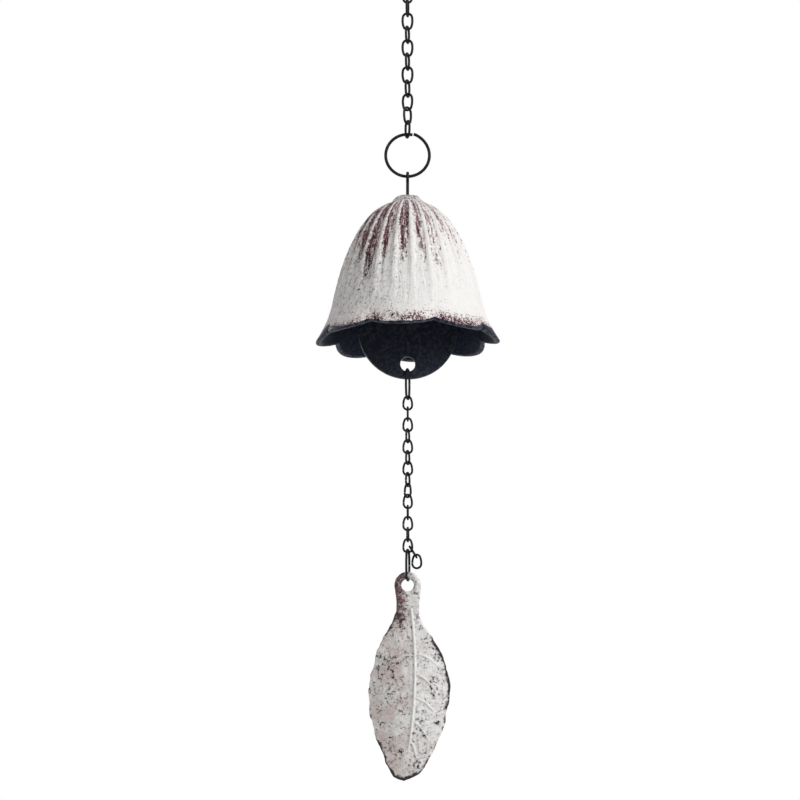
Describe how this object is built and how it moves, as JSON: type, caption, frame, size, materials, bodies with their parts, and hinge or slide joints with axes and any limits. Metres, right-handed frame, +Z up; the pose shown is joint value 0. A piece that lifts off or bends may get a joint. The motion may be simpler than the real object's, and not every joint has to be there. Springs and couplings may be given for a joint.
{
  "type": "wind bell",
  "caption": "Cast iron furin in worn white paint: ribbed flower bell on a wire chain, disc clapper inside and a cast leaf on a thin chain that catches the wind.",
  "frame": {"origin": "inside top of the hanging ring, where it rests on a hook", "axes": "+Z up along the hanging line, +X to the right, -Y to the viewer"},
  "size_m": [0.0704, 0.0704, 0.3278],
  "materials": {
    "worn_white_paint": "white paint worn through to dark iron on ribs, grooves and rims",
    "black_iron": "matt black on a flat disc",
    "heavy_wire": "black oxide wire, slightly shiny",
    "chain_wire": "black oxide wire, slightly shiny"
  },
  "bodies": {
    "hanging_ring": {"hanging_ring": "heavy_wire"},
    "upper_link_01": {"upper_link_01": "chain_wire"},
    "upper_link_02": {"upper_link_02": "chain_wire"},
    "upper_link_03": {"upper_link_03": "chain_wire"},
    "upper_link_04": {"upper_link_04": "chain_wire"},
    "upper_link_05": {"upper_link_05": "chain_wire"},
    "upper_link_06": {"upper_link_06": "chain_wire"},
    "upper_link_07": {"upper_link_07": "chain_wire"},
    "upper_link_08": {"upper_link_08": "chain_wire"},
    "upper_link_09": {"upper_link_09": "chain_wire"},
    "upper_link_10": {"upper_link_10": "chain_wire"},
    "upper_link_11": {"upper_link_11": "chain_wire"},
    "upper_link_12": {"upper_link_12": "chain_wire"},
    "bell_ring": {"bell_ring": "heavy_wire"},
    "hanger_wire": {"hanger_wire": "heavy_wire"},
    "bell": {"bell": "worn_white_paint"},
    "clapper_wire": {"clapper_wire": "heavy_wire"},
    "clapper": {"clapper": "black_iron"},
    "clapper_link": {"clapper_link": "chain_wire"},
    "lower_link_01": {"lower_link_01": "chain_wire"},
    "lower_link_02": {"lower_link_02": "chain_wire"},
    "lower_link_03": {"lower_link_03": "chain_wire"},
    "lower_link_04": {"lower_link_04": "chain_wire"},
    "lower_link_05": {"lower_link_05": "chain_wire"},
    "lower_link_06": {"lower_link_06": "chain_wire"},
    "lower_link_07": {"lower_link_07": "chain_wire"},
    "lower_link_08": {"lower_link_08": "chain_wire"},
    "lower_link_09": {"lower_link_09": "chain_wire"},
    "lower_link_10": {"lower_link_10": "chain_wire"},
    "lower_link_11": {"lower_link_11": "chain_wire"},
    "lower_link_12": {"lower_link_12": "chain_wire"},
    "lower_link_13": {"lower_link_13": "chain_wire"},
    "lower_link_14": {"lower_link_14": "chain_wire"},
    "leaf_link": {"leaf_link": "chain_wire"},
    "leaf": {"leaf": "worn_white_paint"},
    "spare_link_1": {"spare_link_1": "chain_wire"},
    "spare_link_2": {"spare_link_2": "chain_wire"}
  },
  "joints": [
    {"name": "upper_link_01_swing", "type": "hinge", "parent": "hanging_ring", "child": "upper_link_01", "pos_m": [0, 0, -0.0162], "axis": [1, 0, 0], "range_deg": [-50, 50]},
    {"name": "upper_link_02_swing", "type": "hinge", "parent": "upper_link_01", "child": "upper_link_02", "pos_m": [0, 0, -0.02152], "axis": [-0.0349, -0.9994, 0], "range_deg": [-50, 50]},
    {"name": "upper_link_03_swing", "type": "hinge", "parent": "upper_link_02", "child": "upper_link_03", "pos_m": [0, 0, -0.02697], "axis": [-0.9976, -0.0698, 0], "range_deg": [-50, 50]},
    {"name": "upper_link_04_swing", "type": "hinge", "parent": "upper_link_03", "child": "upper_link_04", "pos_m": [0, 0, -0.03243], "axis": [0.1736, 0.9848, 0], "range_deg": [-50, 50]},
    {"name": "upper_link_05_swing", "type": "hinge", "parent": "upper_link_04", "child": "upper_link_05", "pos_m": [0, 0, -0.03787], "axis": [0.9994, 0.0349, 0], "range_deg": [-50, 50]},
    {"name": "upper_link_06_swing", "type": "hinge", "parent": "upper_link_05", "child": "upper_link_06", "pos_m": [0, 0, -0.04333], "axis": [-0.309, -0.9511, 0], "range_deg": [-50, 50]},
    {"name": "upper_link_07_swing", "type": "hinge", "parent": "upper_link_06", "child": "upper_link_07", "pos_m": [0, 0, -0.04877], "axis": [-1, 0, 0], "range_deg": [-50, 50]},
    {"name": "upper_link_08_swing", "type": "hinge", "parent": "upper_link_07", "child": "upper_link_08", "pos_m": [0, 0, -0.05423], "axis": [0.309, 0.9511, 0], "range_deg": [-50, 50]},
    {"name": "upper_link_09_swing", "type": "hinge", "parent": "upper_link_08", "child": "upper_link_09", "pos_m": [0, 0, -0.05967], "axis": [0.9994, -0.0349, 0], "range_deg": [-50, 50]},
    {"name": "upper_link_10_swing", "type": "hinge", "parent": "upper_link_09", "child": "upper_link_10", "pos_m": [0, 0, -0.06513], "axis": [-0.3746, -0.9272, 0], "range_deg": [-50, 50]},
    {"name": "upper_link_11_swing", "type": "hinge", "parent": "upper_link_10", "child": "upper_link_11", "pos_m": [0, 0, -0.07057], "axis": [-0.9397, 0.342, 0], "range_deg": [-50, 50]},
    {"name": "upper_link_12_swing", "type": "hinge", "parent": "upper_link_11", "child": "upper_link_12", "pos_m": [0, 0, -0.07602], "axis": [0.6947, 0.7193, 0], "range_deg": [-50, 50]},
    {"name": "bell_ring_swing", "type": "hinge", "parent": "upper_link_12", "child": "bell_ring", "pos_m": [0, 0, -0.08148], "axis": [-0.3907, 0.9205, 0], "range_deg": [-40, 40]},
    {"name": "hanger_swing", "type": "hinge", "parent": "bell_ring", "child": "hanger_wire", "pos_m": [0, 0, -0.0971], "axis": [-1, 0, 0], "range_deg": [-50, 50]},
    {"name": "bell_turn", "type": "hinge", "parent": "hanger_wire", "child": "bell", "pos_m": [0, 0, -0.1054], "axis": [0, 0, 1], "continuous": true},
    {"name": "clapper_wire_swing", "type": "hinge", "parent": "hanger_wire", "child": "clapper_wire", "pos_m": [0, 0, -0.11616], "axis": [1, 0, 0], "range_deg": [-13, 13]},
    {"name": "clapper_swing", "type": "hinge", "parent": "clapper_wire", "child": "clapper", "pos_m": [0, 0, -0.14256], "axis": [-0.0872, 0.9962, 0], "range_deg": [-24, 24]},
    {"name": "clapper_link_swing", "type": "hinge", "parent": "clapper", "child": "clapper_link", "pos_m": [0, 0, -0.17267], "axis": [0.0872, -0.9962, 0], "range_deg": [-50, 50]},
    {"name": "lower_link_01_swing", "type": "hinge", "parent": "clapper_link", "child": "lower_link_01", "pos_m": [0, 0, -0.18407], "axis": [0.2756, 0.9613, 0], "range_deg": [-50, 50]},
    {"name": "lower_link_02_swing", "type": "hinge", "parent": "lower_link_01", "child": "lower_link_02", "pos_m": [0, 0, -0.18819], "axis": [0.9976, 0.0698, 0], "range_deg": [-50, 50]},
    {"name": "lower_link_03_swing", "type": "hinge", "parent": "lower_link_02", "child": "lower_link_03", "pos_m": [0, 0, -0.19235], "axis": [0, -1, 0], "range_deg": [-50, 50]},
    {"name": "lower_link_04_swing", "type": "hinge", "parent": "lower_link_03", "child": "lower_link_04", "pos_m": [0, 0, -0.19651], "axis": [-1, 0, 0], "range_deg": [-50, 50]},
    {"name": "lower_link_05_swing", "type": "hinge", "parent": "lower_link_04", "child": "lower_link_05", "pos_m": [0, 0, -0.20067], "axis": [0.342, 0.9397, 0], "range_deg": [-50, 50]},
    {"name": "lower_link_06_swing", "type": "hinge", "parent": "lower_link_05", "child": "lower_link_06", "pos_m": [0, 0, -0.20483], "axis": [0.9994, 0.0349, 0], "range_deg": [-50, 50]},
    {"name": "lower_link_07_swing", "type": "hinge", "parent": "lower_link_06", "child": "lower_link_07", "pos_m": [0, 0, -0.20899], "axis": [-0.3746, -0.9272, 0], "range_deg": [-50, 50]},
    {"name": "lower_link_08_swing", "type": "hinge", "parent": "lower_link_07", "child": "lower_link_08", "pos_m": [0, 0, -0.21315], "axis": [-1, 0, 0], "range_deg": [-50, 50]},
    {"name": "lower_link_09_swing", "type": "hinge", "parent": "lower_link_08", "child": "lower_link_09", "pos_m": [0, 0, -0.21731], "axis": [0.4067, 0.9135, 0], "range_deg": [-50, 50]},
    {"name": "lower_link_10_swing", "type": "hinge", "parent": "lower_link_09", "child": "lower_link_10", "pos_m": [0, 0, -0.22147], "axis": [-0.6691, 0.7431, 0], "range_deg": [-50, 50]},
    {"name": "lower_link_11_swing", "type": "hinge", "parent": "lower_link_10", "child": "lower_link_11", "pos_m": [0, 0, -0.22563], "axis": [-0.9397, -0.342, 0], "range_deg": [-50, 50]},
    {"name": "lower_link_12_swing", "type": "hinge", "parent": "lower_link_11", "child": "lower_link_12", "pos_m": [0, 0, -0.22979], "axis": [-0.0349, -0.9994, 0], "range_deg": [-50, 50]},
    {"name": "lower_link_13_swing", "type": "hinge", "parent": "lower_link_12", "child": "lower_link_13", "pos_m": [0, 0, -0.23395], "axis": [0.9976, 0.0698, 0], "range_deg": [-50, 50]},
    {"name": "lower_link_14_swing", "type": "hinge", "parent": "lower_link_13", "child": "lower_link_14", "pos_m": [0, 0, -0.23811], "axis": [0.1392, 0.9903, 0], "range_deg": [-50, 50]},
    {"name": "leaf_link_swing", "type": "hinge", "parent": "lower_link_14", "child": "leaf_link", "pos_m": [0, 0, -0.24227], "axis": [-0.9976, 0.0698, 0], "range_deg": [-40, 40]},
    {"name": "leaf_swing", "type": "hinge", "parent": "leaf_link", "child": "leaf", "pos_m": [0, 0, -0.25271], "axis": [0, -1, 0], "range_deg": [-45, 45]},
    {"name": "spare_link_1_swing", "type": "hinge", "parent": "lower_link_14", "child": "spare_link_1", "pos_m": [0.00073, 0.00075, -0.24005], "axis": [0, -1, 0], "range_deg": [-4, 14]},
    {"name": "spare_link_2_swing", "type": "hinge", "parent": "spare_link_1", "child": "spare_link_2", "pos_m": [0.00322, -0.00103, -0.24411], "axis": [-0.2274, -0.9354, 0.2708], "range_deg": [0, 40]}
  ]
}
